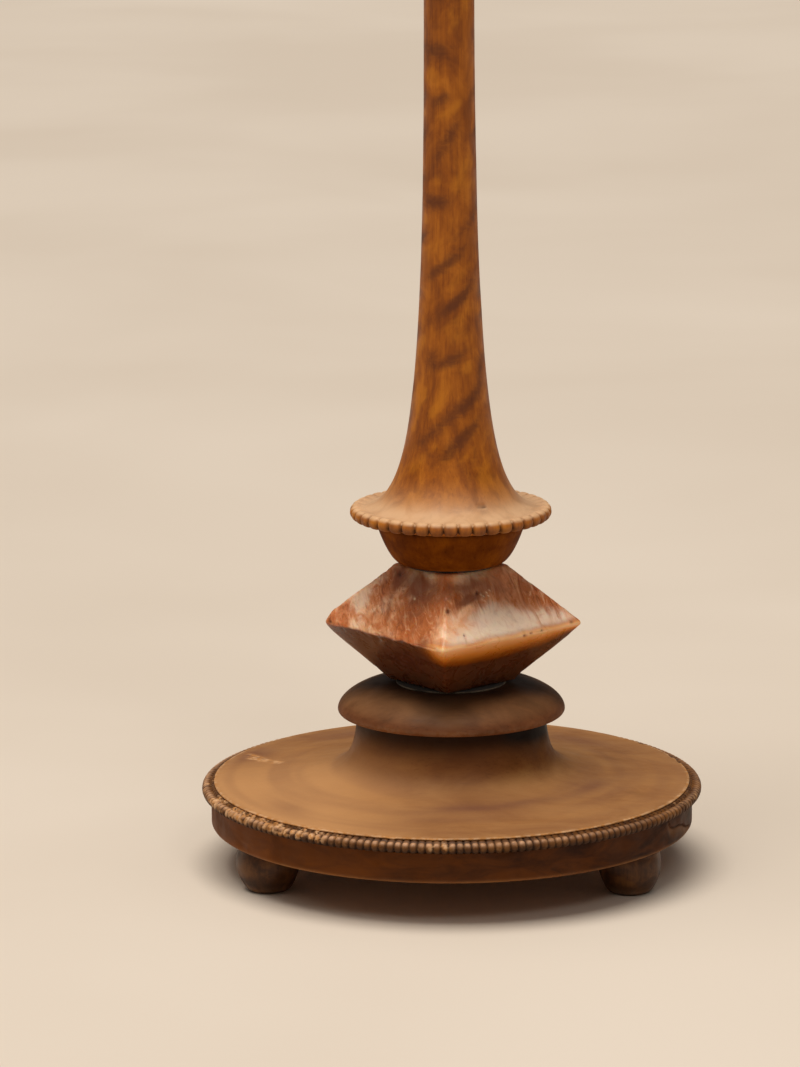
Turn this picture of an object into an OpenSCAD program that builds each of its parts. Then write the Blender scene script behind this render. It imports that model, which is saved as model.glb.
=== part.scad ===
// Turned wooden candlestick with a square stone block in its stem.
// Millimetres, +Z up. The origin is on the table, on the axis that all the turned pieces share.

/* [Base] */
// Radius over the beading at the rim of the base
rim_r = 90; // [89:0.5:93]
// Radius of the plain drum below the beading
drum_r = 86.6; // [86:0.1:87.2]
// Height of the sharp edge round the top of the base
arris_z = 31.9; // [31.7:0.1:33]
// Radius of the neck where it meets the collar
neck_r = 33.8; // [33.4:0.1:34.2]
// Height of the top of the neck
neck_top_z = 55.8; // [55:0.1:56]

/* [Feet] */
// Distance of each of the three feet's centres from the axis
foot_circle_r = 74; // [68:0.5:74]
// Turn of the feet about the axis, in degrees
foot_turn = -1.7; // [-5:0.1:5]
// Height of a foot, from the table to the underside of the base
foot_h = 16; // [14:0.1:16.2]
// Largest radius of a foot
foot_r = 11.6; // [10:0.1:12.4]

/* [Collar] */
// Largest radius of the collar
collar_r = 40.8; // [40:0.1:44]
// Height of the widest part of the collar
collar_equator_z = 57.8; // [57.6:0.1:59]
// Height of the flat seat on top of the collar
collar_top_z = 67.4; // [66:0.1:67.5]

/* [Stone] */
// Distance from the axis to a side corner of the stone
stone_half_diagonal = 48.2; // [44:0.1:52]
// Distance from the axis to a corner of its flat top
stone_top_half_diagonal = 20.5; // [20:0.1:24]
// Distance from the axis to a corner of its flat bottom
stone_bottom_half_diagonal = 22.8; // [20:0.1:25]
// Height of the stone
stone_h = 42.8; // [38:0.1:42.8]
// Turn of the stone about the axis, in degrees
stone_turn = -3.5; // [-10:0.5:10]
// Rounding of the edge round the middle of the stone
stone_edge_r = 1.6; // [1:0.1:2.5]

/* [Shaft] */
// Height of the underside of the flange
flange_z = 126; // [125.8:0.1:127]
// Radius of the flange over its beads
flange_r = 36; // [35:0.1:40]
// Radius that the shaft narrows towards at its waist
waist_r = 8.6; // [8.4:0.1:10]
// Height of the top of the shaft
shaft_top_z = 373; // [350:1:400]

/* [Top] */
// Radius of the drip pan over its beads
pan_r = 31.6; // [29:0.1:36]
// Inside radius of the candle cup
candle_r = 11.25; // [10.5:0.05:11.4]
// Height of the candle socket
socket_h = 33.9; // [31:0.1:38]

/* [Hidden] */
$fn = 128;

// Fits: what a spigot, rod or sleeve is smaller than its hole by, on the radius
glue_gap = 0.05;
rod_gap = 0.5;
thread_gap = 0.05;
cup_gap = 0.1;
washer_gap = 0.2;

// Room past the end of a spigot, tenon or cup, so that its shoulder seats first
end_gap = 0.5;

// How far a cutting cylinder runs past the face that it opens
past = 1;

// Tie rod and what is on it
rod_r = 4;
rod_hole_r = rod_r + rod_gap;
rod_recess = 1.6;
rod_bottom_z = foot_h + rod_recess;
rod_top_z = flange_z + 25;
nut_flats = 13;
nut_h = 6.8;
washer_r = 12;
washer_h = 1.6;
recess_r = 16;
recess_top_z = foot_h + 12;

// Beading round the base
bead_r = 2;
bead_z = arris_z - 2.9;
strip_inner_r = drum_r - 2;
strip_bottom_z = bead_z - bead_r;
strip_top_z = arris_z - 0.7;
strip_ledge_r = drum_r - 0.4;
strip_body_h = 1.6 * bead_r;
arris_r = drum_r - 1;
drum_round = 1.2;

// Sweep of the base's top: a slight fall to the rim, and a hyperbola that climbs the neck
top_fall = 0.04;
sweep_axis_r = neck_r - 1.85;
sweep_steps = 28;
sweep_gain = (neck_top_z - arris_z - top_fall * (arris_r - neck_r))
             / (1 / (neck_r - sweep_axis_r) - 1 / (arris_r - sweep_axis_r));

// Feet
foot_azimuths = [for (third = [0:2]) 210 + 120 * third + foot_turn];
tenon_r = 5;
tenon_h = 9;
foot_flat_r = 6.2;
foot_neck_r = 9.6;
foot_belly_z = 0.58 * foot_h;
foot_fullness = 1.6;

// Spigot of the collar in the neck of the base
collar_spigot_r = 12;
collar_spigot_h = 5;
collar_seat_r = 22;
collar_lip_r = 1.3;
collar_fullness = 1.8;

// Seats of the stone
lower_washer_r = 20;
lower_washer_h = 0.5;
upper_washer_r = 17;
upper_washer_h = 0.8;
stone_z = collar_top_z + lower_washer_h;
stone_top_z = stone_z + stone_h;

// Bowl
bowl_z = stone_top_z + upper_washer_h;
bowl_bottom_r = 18;
bowl_top_r = 26.8;
bowl_fullness = 0.55;
boss_r = 14;
boss_top_z = flange_z + 4;

// Threaded insert in the foot of the shaft
insert_r = 7;
insert_h = 20;
rod_pocket_top_z = rod_top_z + 4;

// Flange and the sweep of the shaft: a brim that lies nearly flat, two flares, and one at the top
flange_bead_r = 2.4;
flange_bead_at = [flange_r - flange_bead_r, flange_z + 3.8];
sweep_start_z = flange_z + 5.5;
brim = 3;
brim_run = 1.2;
foot_flare = 3.4;
foot_flare_z = flange_z + 11.5;
foot_flare_run = 8.4;
long_flare = 10.5;
long_flare_run = 46;
top_flare = 4.4;
top_flare_run = 14;
astragal_r = 2;
astragal_at = [13.4, shaft_top_z - 4.4];

// Spigot at the top of the shaft
spigot_r = 6;
spigot_h = 12.2;

// Drip pan
pan_bead_r = 2.1;
pan_floor_z = shaft_top_z + 4.6;
pan_bead_at = [pan_r - pan_bead_r, shaft_top_z + 7.4];
pan_foot_r = 14;
pan_belly = [pan_r - 9, shaft_top_z + 3];
pan_bank = [pan_r - 4.6, pan_floor_z + 1.8];
pan_floor_r = pan_r - 8.5;

// Candle socket
socket_z = pan_floor_z;
socket_top_z = socket_z + socket_h;
socket_foot_r = 15.8;
socket_foot_ring_r = 1.5;
socket_waist_r = 15;
socket_swell = 1.2;
socket_lip_r = 18.2;
socket_lip_round = 2.2;
spigot_hole_top_z = shaft_top_z + spigot_h + end_gap;

// Candle cup
cup_wall = 0.75;
cup_r = candle_r + cup_wall;
cup_flange_r = 17;
cup_flange_h = 1.2;
cup_depth = 22.5;
cup_bottom_z = socket_top_z - cup_depth;
cup_floor = 0.8;
cup_well_z = cup_bottom_z - end_gap;

// Points on an arc about a centre, from one angle to another
function arc(centre, r, from, to, steps = 12) =
    [for (i = [0:steps]) let (a = from + (to - from) * i / steps)
        centre + r * [cos(a), sin(a)]];

// Points on a quarter of a superellipse, from its widest point up to its top
function shoulder(centre, size, fullness, steps = 16) =
    [for (i = [0:steps]) let (a = 90 * i / steps)
        centre + [size[0] * pow(cos(a), 2 / fullness), size[1] * pow(sin(a), 2 / fullness)]];

function base_top_z(r) = arris_z + top_fall * (arris_r - r)
    + sweep_gain * (1 / (r - sweep_axis_r) - 1 / (arris_r - sweep_axis_r));

function shaft_r(z) = waist_r
    + long_flare * exp(-(z - foot_flare_z) / long_flare_run)
    + foot_flare * exp(-(z - foot_flare_z) / foot_flare_run)
    + brim * exp(-(z - sweep_start_z) / brim_run)
    + top_flare * exp((z - shaft_top_z) / top_flare_run);

module bore(r, from, to) {
    translate([0, 0, from])
        cylinder(r = r, h = to - from);
}

module at_foot(azimuth) {
    rotate([0, 0, azimuth])
        translate([foot_circle_r, 0, 0])
            children();
}

module base() {
    profile = concat(
        [[0, foot_h], [drum_r - drum_round, foot_h]],
        arc([drum_r - drum_round, foot_h + drum_round], drum_round, -90, 0, 6),
        [[drum_r, strip_bottom_z], [strip_inner_r, strip_bottom_z],
         [strip_inner_r, strip_top_z], [arris_r, strip_top_z]],
        [for (i = [0:sweep_steps])
            let (r = neck_r + (arris_r - neck_r) * pow(1 - i / sweep_steps, 2))
                [r, base_top_z(r)]],
        [[0, neck_top_z]]);
    color("peru")
        difference() {
            rotate_extrude()
                polygon(profile);
            bore(rod_hole_r, recess_top_z - past, neck_top_z + past);
            bore(recess_r, foot_h - past, recess_top_z);
            bore(collar_spigot_r + glue_gap, neck_top_z - collar_spigot_h - end_gap, neck_top_z + past);
            for (azimuth = foot_azimuths)
                at_foot(azimuth)
                    bore(tenon_r, foot_h - past, foot_h + tenon_h + end_gap);
        }
}

module base_bead_moulding() {
    color("burlywood")
        rotate_extrude()
            union() {
                translate([strip_inner_r, strip_bottom_z])
                    square([rim_r - bead_r - strip_inner_r, strip_body_h]);
                translate([strip_inner_r, strip_bottom_z])
                    square([strip_ledge_r - strip_inner_r, strip_top_z - strip_bottom_z]);
                translate([rim_r - bead_r, bead_z])
                    circle(r = bead_r);
            }
}

module foot(azimuth) {
    belly = foot_r - foot_flat_r;
    shoulder_w = foot_r - foot_neck_r;
    profile = concat(
        [[0, 0]],
        [for (i = [0:12]) let (a = 90 * i / 12)
            [foot_flat_r + belly * pow(sin(a), 2 / foot_fullness),
             foot_belly_z * (1 - pow(cos(a), 2 / foot_fullness))]],
        [for (i = [1:12]) let (a = 90 * i / 12)
            [foot_neck_r + shoulder_w * cos(a), foot_belly_z + (foot_h - foot_belly_z) * sin(a)]],
        [[tenon_r - glue_gap, foot_h], [tenon_r - glue_gap, foot_h + tenon_h],
         [0, foot_h + tenon_h]]);
    color("saddlebrown")
        at_foot(azimuth)
            rotate_extrude()
                polygon(profile);
}

module collar() {
    profile = concat(
        [[0, neck_top_z - collar_spigot_h], [collar_spigot_r, neck_top_z - collar_spigot_h],
         [collar_spigot_r, neck_top_z], [neck_r, neck_top_z]],
        arc([collar_r - collar_lip_r, collar_equator_z], collar_lip_r, -80, 0, 8),
        shoulder([collar_seat_r, collar_equator_z],
                 [collar_r - collar_seat_r, collar_top_z - collar_equator_z], collar_fullness),
        [[0, collar_top_z]]);
    color("sienna")
        difference() {
            rotate_extrude()
                polygon(profile);
            bore(rod_hole_r, neck_top_z - collar_spigot_h - past, collar_top_z + past);
        }
}

module seat_washer(r, h, z) {
    color("darkkhaki")
        translate([0, 0, z])
            difference() {
                cylinder(r = r, h = h);
                bore(rod_hole_r, -past, h + past);
            }
}

// Prism whose section is the stone's outline, with its edge rounded, seen square to a face
module stone_prism() {
    side = stone_half_diagonal / sqrt(2);
    top = stone_top_half_diagonal / sqrt(2);
    bottom = stone_bottom_half_diagonal / sqrt(2);
    half_h = stone_h / 2;
    upper_tilt = atan2(half_h, side - top);
    lower_tilt = atan2(half_h, side - bottom);
    round_x = side - stone_edge_r / sin((upper_tilt + lower_tilt) / 2);
    round_from = lower_tilt - 90;
    round_to = 90 - upper_tilt;
    section = concat(
        [[-bottom, -half_h], [bottom, -half_h]],
        arc([round_x, 0], stone_edge_r, round_from, round_to, 6),
        [[top, half_h], [-top, half_h]],
        arc([-round_x, 0], stone_edge_r, 180 - round_to, 180 - round_from, 6));
    rotate([90, 0, 0])
        linear_extrude(height = 2 * stone_half_diagonal, center = true)
            polygon(section);
}

module stone_block() {
    color("rosybrown")
        difference() {
            translate([0, 0, stone_z + stone_h / 2])
                rotate([0, 0, 45 + stone_turn])
                    intersection() {
                        stone_prism();
                        rotate([0, 0, 90])
                            stone_prism();
                    }
            bore(rod_hole_r, stone_z - past, stone_top_z + past);
        }
}

module bowl() {
    steps = 16;
    profile = concat(
        [[0, bowl_z]],
        [for (i = [0:steps]) let (u = pow(i / steps, 2))
            [bowl_bottom_r + (bowl_top_r - bowl_bottom_r) * pow(u, bowl_fullness),
             bowl_z + (flange_z - bowl_z) * u]],
        [[boss_r, flange_z], [boss_r, boss_top_z], [0, boss_top_z]]);
    color("maroon")
        difference() {
            rotate_extrude()
                polygon(profile);
            bore(rod_hole_r, bowl_z - past, boss_top_z + past);
        }
}

module shaft() {
    steps = 60;
    sweep_end_z = astragal_at[1] - astragal_r;
    insert_top_z = boss_top_z + insert_h;
    profile = concat(
        [[0, flange_z], [bowl_top_r, flange_z]],
        arc(flange_bead_at, flange_bead_r, -125, 115, 20),
        [for (i = [0:steps])
            let (z = sweep_start_z + (sweep_end_z - sweep_start_z) * pow(i / steps, 1.5))
                [shaft_r(z), z]],
        arc(astragal_at, astragal_r, -60, 60, 8),
        [[astragal_at[0], shaft_top_z], [spigot_r, shaft_top_z],
         [spigot_r, shaft_top_z + spigot_h], [0, shaft_top_z + spigot_h]]);
    color("chocolate")
        difference() {
            rotate_extrude()
                polygon(profile);
            bore(boss_r + glue_gap, flange_z - past, boss_top_z);
            bore(insert_r + glue_gap, flange_z, insert_top_z);
            bore(rod_hole_r, flange_z, rod_pocket_top_z);
        }
}

module shaft_insert() {
    color("goldenrod")
        difference() {
            bore(insert_r, boss_top_z, boss_top_z + insert_h);
            bore(rod_r + thread_gap, boss_top_z - past, boss_top_z + insert_h + past);
        }
}

module tie_rod() {
    color("gray")
        bore(rod_r, rod_bottom_z, rod_top_z);
}

module base_washer() {
    color("silver")
        difference() {
            bore(washer_r, recess_top_z - washer_h, recess_top_z);
            bore(rod_r + washer_gap, recess_top_z - washer_h - past, recess_top_z + past);
        }
}

module base_nut() {
    nut_top_z = recess_top_z - washer_h;
    color("silver")
        difference() {
            translate([0, 0, nut_top_z - nut_h])
                cylinder(r = nut_flats / 2 / cos(30), h = nut_h, $fn = 6);
            bore(rod_r + thread_gap, nut_top_z - nut_h - past, nut_top_z + past);
        }
}

module drip_pan() {
    profile = concat(
        [[0, shaft_top_z], [pan_foot_r, shaft_top_z], pan_belly],
        arc(pan_bead_at, pan_bead_r, -110, 110, 16),
        [pan_bank, [pan_floor_r, pan_floor_z], [0, pan_floor_z]]);
    color("chocolate")
        difference() {
            rotate_extrude()
                polygon(profile);
            bore(spigot_r + glue_gap, shaft_top_z - past, pan_floor_z + past);
        }
}

module candle_socket() {
    steps = 14;
    foot_ring_at = [socket_foot_r, socket_z + socket_foot_ring_r];
    lip_at = [socket_lip_r - socket_lip_round, socket_top_z - socket_lip_round];
    waist_z = foot_ring_at[1] + socket_foot_ring_r;
    shoulder_z = lip_at[1] - socket_lip_round;
    profile = concat(
        [[0, socket_z]],
        arc(foot_ring_at, socket_foot_ring_r, -90, 90),
        [for (i = [1:steps])
            let (u = i / steps)
                [socket_waist_r + socket_swell * pow(u, 2), waist_z + (shoulder_z - waist_z) * u]],
        arc(lip_at, socket_lip_round, -60, 90),
        [[0, socket_top_z]]);
    color("peru")
        difference() {
            rotate_extrude()
                polygon(profile);
            bore(spigot_r + glue_gap, socket_z - past, spigot_hole_top_z);
            bore(cup_r + cup_gap, cup_well_z, socket_top_z + past);
        }
}

module candle_cup() {
    cup_top_z = socket_top_z + cup_flange_h;
    color("gold")
        difference() {
            union() {
                bore(cup_r, cup_bottom_z, socket_top_z + cup_flange_h / 2);
                bore(cup_flange_r, socket_top_z, cup_top_z);
            }
            bore(candle_r, cup_bottom_z + cup_floor, cup_top_z + past);
        }
}

base();
base_bead_moulding();
foot(foot_azimuths[0]);  // foot_front_left
foot(foot_azimuths[1]);  // foot_front_right
foot(foot_azimuths[2]);  // foot_back
collar();
seat_washer(lower_washer_r, lower_washer_h, collar_top_z);  // lower_seat_washer
stone_block();
seat_washer(upper_washer_r, upper_washer_h, stone_top_z);  // upper_seat_washer
bowl();
shaft();
shaft_insert();
tie_rod();
base_washer();
base_nut();
drip_pan();
candle_socket();
candle_cup();
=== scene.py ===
"""Looks of the turned candlestick: its detailed pieces, their materials, the stage, lights and camera.

Sizes are written in millimetres, as in the part's source, and become metres when a mesh is made.
"""

import math
from functools import partial

import bpy
import numpy as np
from mathutils import Euler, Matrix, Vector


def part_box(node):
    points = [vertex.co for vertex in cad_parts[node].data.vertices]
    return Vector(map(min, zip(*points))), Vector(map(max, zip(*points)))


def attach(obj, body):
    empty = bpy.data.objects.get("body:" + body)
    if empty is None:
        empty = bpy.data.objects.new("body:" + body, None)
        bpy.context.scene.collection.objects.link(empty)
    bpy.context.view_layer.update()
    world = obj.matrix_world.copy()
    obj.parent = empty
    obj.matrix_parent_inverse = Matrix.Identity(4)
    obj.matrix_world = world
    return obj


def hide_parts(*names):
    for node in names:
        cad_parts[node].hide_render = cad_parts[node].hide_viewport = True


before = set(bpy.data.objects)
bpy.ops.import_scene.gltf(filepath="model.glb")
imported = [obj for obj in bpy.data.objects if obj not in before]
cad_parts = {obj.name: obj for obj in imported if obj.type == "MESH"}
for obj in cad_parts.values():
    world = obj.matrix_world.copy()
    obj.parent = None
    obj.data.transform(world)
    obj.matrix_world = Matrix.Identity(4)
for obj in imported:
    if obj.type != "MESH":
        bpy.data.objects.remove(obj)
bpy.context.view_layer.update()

MM = 0.001


def span(node):
    """Radius over a turned node, and the heights of its bottom and top, in mm."""
    low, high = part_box(node)
    return (high.x - low.x) / 2 / MM, low.z / MM, high.z / MM


RIM_R, DRUM_Z, NECK_TOP_Z = span("base_bead_moulding")[0], span("base")[1], span("base")[2]
DRUM_R = span("base")[0]
STRIP_Z, STRIP_TOP_Z = span("base_bead_moulding")[1:]
COLLAR_R, COLLAR_BOTTOM_Z, COLLAR_TOP_Z = span("collar")
LOWER_WASHER_R, LOWER_WASHER_Z, STONE_Z = span("lower_seat_washer")
UPPER_WASHER_R, STONE_TOP_Z, BOWL_Z = span("upper_seat_washer")
BOWL_TOP_R, _, BOSS_TOP_Z = span("bowl")
FLANGE_R, FLANGE_Z, SPIGOT_TOP_Z = span("shaft")
PAN_R, PAN_Z, _ = span("drip_pan")
SOCKET_R, SOCKET_Z, SOCKET_TOP_Z = span("candle_socket")
CUP_R, CUP_Z, CUP_TOP_Z = span("candle_cup")
INSERT_R, INSERT_Z, INSERT_TOP_Z = span("shaft_insert")
ROD_R, ROD_Z, ROD_TOP_Z = span("tie_rod")
WASHER_R, WASHER_Z, RECESS_TOP_Z = span("base_washer")
NUT_Z = span("base_nut")[1]

NECK_R = 33.8
ARRIS_R, ARRIS_Z = 85.6, 31.9
SWEEP_AXIS_R = 31.95
TOP_FALL = 0.04
STRIP_SEAT_R = 84.6
RECESS_R = 16
ROD_HOLE_R = 4.5
FIT_GAP = 0.05
FOOT_TENON_R = 4.95
COLLAR_TENON_R, COLLAR_HOLE_Z = 12, 50.3
COLLAR_EQUATOR_Z = 57.8
STONE_HALF_DIAGONAL = 48.2
STONE_END_HALF_DIAGONALS = (20.5, 22.8)
STONE_HALF_H = (STONE_TOP_Z - STONE_Z) / 2
STONE_TURN = -3.5
BOSS_R = 14
SPIGOT_R = 6
CUP_BODY_R, CUP_BORE_R, CUP_WALL = 12, 11.25, 0.8


def link(name, data):
    """A new object in the scene with this data."""
    made = bpy.data.objects.new(name, data)
    bpy.context.scene.collection.objects.link(made)
    return made


def from_front(x, y):
    """Azimuth in degrees: 0 at the front, and above 0 on the right."""
    return np.degrees(np.arctan2(x, -y))


# Shapes


def hashed(cell, seed):
    """A repeatable number from 0 to 1 for each lattice cell."""
    n = cell[..., 0] * 73856093 ^ cell[..., 1] * 19349663 ^ cell[..., 2] * 83492791
    n = (n ^ seed * 2654435761) & 0xFFFFFFFF
    n = ((n ^ (n >> 16)) * 0x45D9F3B) & 0xFFFFFFFF
    n = ((n ^ (n >> 16)) * 0x45D9F3B) & 0xFFFFFFFF
    return (n ^ (n >> 16)) / 4294967295.0


def cloud(points, size, seed, octaves=3):
    """Smooth noise from 0 to 1 at points, whose largest features are about size mm across."""
    total, weight, amplitude = 0.0, 0.0, 1.0
    p = np.asarray(points, float) / np.asarray(size, float)
    for octave in range(octaves):
        cell = np.floor(p).astype(np.int64)
        f = p - cell
        f = f * f * (3 - 2 * f)
        value = 0.0
        for corner in range(8):
            step = np.array([corner & 1, corner >> 1 & 1, corner >> 2 & 1])
            share = np.prod(np.where(step, f, 1 - f), axis=-1)
            value = value + share * hashed(cell + step, seed + octave)
        total, weight = total + amplitude * value, weight + amplitude
        amplitude *= 0.5
        p = p * 2.03 + 11.7
    return total / weight


def smooth(value, low, high):
    t = np.clip((value - low) / (high - low), 0, 1)
    return t * t * (3 - 2 * t)


def outline(corners, closed, step):
    """Points along a turned section. A corner is (r, z) or (r, z, fillet). Gaps are up to step."""
    points, count = [], len(corners)
    for i, corner in enumerate(corners):
        here = np.array(corner[:2], float)
        fillet = corner[2] if len(corner) > 2 else 0
        if fillet == 0 or (not closed and i in (0, count - 1)):
            points.append(here)
            continue
        arms = []
        for other in (corners[i - 1], corners[(i + 1) % count]):
            arm = np.array(other[:2], float) - here
            arms.append((arm, np.linalg.norm(arm)))
        a, b = arms[0][0] / arms[0][1], arms[1][0] / arms[1][1]
        half = math.acos(float(np.clip(a @ b, -0.9999, 0.9999))) / 2
        reach = min(fillet / math.tan(half), 0.45 * min(arms[0][1], arms[1][1]))
        radius = reach * math.tan(half)
        centre = here + (a + b) / np.linalg.norm(a + b) * radius / math.sin(half)
        for t in np.linspace(0, 1, 5):
            p = here + a * reach * (1 - t) + b * reach * t - centre
            points.append(centre + p / np.linalg.norm(p) * radius)
    dense = []
    last = len(points) if closed else len(points) - 1
    for i in range(last):
        p, q = points[i], points[(i + 1) % len(points)]
        length = np.linalg.norm(q - p)
        if length < 1e-6:
            continue
        gap = step(p) if callable(step) else step
        parts = max(1, math.ceil(length / gap))
        dense += [p + (q - p) * k / parts for k in range(parts)]
    if not closed:
        dense.append(points[-1])
    return np.array(dense)


def arc(centre, r, start, end, steps=10):
    return [
        (centre[0] + r * math.cos(math.radians(a)), centre[1] + r * math.sin(math.radians(a)))
        for a in np.linspace(start, end, steps + 1)
    ]


def build(name, rings, closed, fields):
    """A mesh object from rings of points in mm. An open stack of rings starts and ends on a pole."""
    ends = []
    if not closed:
        ends = [rings[0].mean(axis=0), rings[-1].mean(axis=0)]
        rings = rings[1:-1]
        fields = {key: value[1:-1] for key, value in fields.items()}
    rows, count = rings.shape[:2]
    i, j = np.meshgrid(np.arange(rows if closed else rows - 1), np.arange(count), indexing="ij")
    k, l = (i + 1) % rows, (j + 1) % count
    quads = np.stack([i * count + j, i * count + l, k * count + l, k * count + j], -1)
    faces = quads.reshape(-1, 4).tolist()
    points = rings.reshape(-1, 3)
    if ends:
        first, last = rows * count, rows * count + 1
        around = np.arange(count)
        after = (around + 1) % count
        base = (rows - 1) * count
        faces += np.stack([after, around, np.full(count, first)], -1).tolist()
        faces += np.stack([base + around, base + after, np.full(count, last)], -1).tolist()
        points = np.vstack([points, ends])
    mesh = bpy.data.meshes.new(name)
    mesh.from_pydata((points * MM).tolist(), [], faces)
    mesh.polygons.foreach_set("use_smooth", np.ones(len(mesh.polygons), bool))
    for key, value in fields.items():
        flat = np.broadcast_to(value, (rows, count)).reshape(-1)
        flat = np.concatenate([flat, np.zeros(len(points) - len(flat))])
        mesh.attributes.new(key, "FLOAT", "POINT").data.foreach_set(
            "value", flat.astype(np.float32)
        )
    mesh.update()
    quad = points[quads.reshape(-1, 4)]
    volume = np.einsum("ij,ij->i", quad[:, 0], np.cross(quad[:, 1], quad[:, 2])).sum()
    volume += np.einsum("ij,ij->i", quad[:, 0], np.cross(quad[:, 2], quad[:, 3])).sum()
    if volume < 0:
        mesh.flip_normals()
    return link(name, mesh)


def turned(name, corners, segments, step, closed=True, shape=None, at=(0, 0)):
    """A piece turned from its corners. shape(r, z, angle, points) gives new r and z, and fields."""
    section = outline(corners, closed, step)
    angle = np.arange(segments) * 2 * math.pi / segments
    r = np.repeat(section[:, :1], segments, axis=1)
    z = np.repeat(section[:, 1:], segments, axis=1)
    a = np.broadcast_to(angle, r.shape)
    fields = {}
    if shape:
        points = np.stack([r * np.cos(a), r * np.sin(a), z], -1)
        r, z, fields = shape(r, z, a, points)
    rings = np.stack([r * np.cos(a) + at[0], r * np.sin(a) + at[1], z], -1)
    return build(name, rings, closed, fields)


def near(value, centre, width):
    return np.exp(-(((value - centre) / width) ** 2))


def stroke(x, y, start, end, width):
    """How close each point is to a straight stroke: 1 on it, 0 well away."""
    along = np.array(end, float) - np.array(start, float)
    length = np.hypot(*along)
    t = np.clip(((x - start[0]) * along[0] + (y - start[1]) * along[1]) / length**2, 0, 1)
    gap = np.hypot(x - start[0] - along[0] * t, y - start[1] - along[1] * t)
    return np.exp(-((gap / width) ** 2))


def patch(u, v, mark):
    """A soft oval mark (u, v, half length, half width, tilt in degrees, strength)."""
    centre_u, centre_v, long, wide, tilt, strength = mark
    c, s = math.cos(math.radians(tilt)), math.sin(math.radians(tilt))
    along = ((u - centre_u) * c + (v - centre_v) * s) / long
    across = ((v - centre_v) * c - (u - centre_u) * s) / wide
    return strength * np.exp(-(along**2 + across**2))


# Materials


def rgb(code):
    """Linear colour of an sRGB hex code."""
    parts = [int(code[i : i + 2], 16) / 255 for i in (0, 2, 4)]
    return tuple(c / 12.92 if c <= 0.04045 else ((c + 0.055) / 1.055) ** 2.4 for c in parts) + (1,)


class Shader:
    """Short calls for the nodes of one material. Lengths in patterns are millimetres."""

    def __init__(self, name):
        self.material = bpy.data.materials.new(name)
        self.material.use_nodes = True
        self.tree = self.material.node_tree
        self.bsdf = self.tree.nodes["Principled BSDF"]
        self.place = self.add("ShaderNodeTexCoord").outputs["Object"]
        self.height = None

    def add(self, kind, inputs=(), **settings):
        made = self.tree.nodes.new(kind)
        for key, value in settings.items():
            setattr(made, key, value)
        for key, value in dict(inputs).items():
            self.feed(made.inputs[key], value)
        return made

    def feed(self, socket, value):
        if isinstance(value, bpy.types.NodeSocket):
            self.tree.links.new(value, socket)
        else:
            socket.default_value = value

    def math(self, operation, a, b=0.0, clamp=False):
        made = self.add("ShaderNodeMath", {0: a, 1: b}, operation=operation, use_clamp=clamp)
        return made.outputs[0]

    def times(self, a, b, clamp=False):
        return self.math("MULTIPLY", a, b, clamp)

    def plus(self, a, b, clamp=False):
        return self.math("ADD", a, b, clamp)

    def mix(self, factor, a, b, blend="MIX"):
        """Colour a, taken towards b by factor. Both are sockets or hex codes."""
        a, b = (rgb(colour) if isinstance(colour, str) else colour for colour in (a, b))
        made = self.add("ShaderNodeMix", {0: factor, 6: a, 7: b}, data_type="RGBA", blend_type=blend)
        return made.outputs[2]

    def band(self, value, low, high, to_low=0.0, to_high=1.0):
        inputs = {0: value, 1: low, 2: high, 3: to_low, 4: to_high}
        made = self.add("ShaderNodeMapRange", inputs, interpolation_type="SMOOTHSTEP")
        return made.outputs[0]

    def ramp(self, factor, stops):
        made = self.add("ShaderNodeValToRGB", {0: factor})
        elements = made.color_ramp.elements
        for i, (position, code) in enumerate(stops):
            element = elements[i] if i < 2 else elements.new(position)
            element.position = position
            element.color = rgb(code)
        return made.outputs[0]

    def mapping(self, inputs):
        return self.add("ShaderNodeMapping", inputs).outputs[0]

    def noise(self, size, detail=3.0, roughness=0.5, distortion=0.0, turn=(0, 0, 0), offset=0.0):
        """Noise from 0 to 1. size is how long its features are along each axis, in mm."""
        sizes = (size,) * 3 if isinstance(size, (int, float)) else size
        place = self.place
        if any(turn):
            place = self.mapping({0: place, 2: [math.radians(t) for t in turn]})
        place = self.mapping({0: place, 1: (offset,) * 3, 3: [1 / MM / s for s in sizes]})
        inputs = {"Vector": place, "Scale": 1.0, "Detail": detail}
        inputs |= {"Roughness": roughness, "Distortion": distortion}
        return self.add("ShaderNodeTexNoise", inputs).outputs[0]

    def attribute(self, name):
        return self.add("ShaderNodeAttribute", attribute_name=name).outputs["Fac"]

    def bump(self, value, depth):
        """Adds a height of depth mm to the surface's fine relief."""
        scaled = self.times(value, depth * MM)
        self.height = scaled if self.height is None else self.plus(self.height, scaled)

    def up(self):
        """How much the surface faces up: 1 up, 0 sideways, -1 down."""
        normal = self.add("ShaderNodeNewGeometry").outputs["Normal"]
        return self.add("ShaderNodeSeparateXYZ", {0: normal}).outputs["Z"]

    def finish(self, colour, roughness, **sockets):
        self.feed(self.bsdf.inputs["Base Color"], colour)
        self.feed(self.bsdf.inputs["Roughness"], roughness)
        for key, value in sockets.items():
            self.bsdf.inputs[key.replace("_", " ")].default_value = value
        if self.height is not None:
            made = self.add("ShaderNodeBump", {"Strength": 1.0, "Distance": 1.0})
            self.feed(made.inputs["Height"], self.height)
            self.feed(self.bsdf.inputs["Normal"], made.outputs[0])
        return self.material


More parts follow.
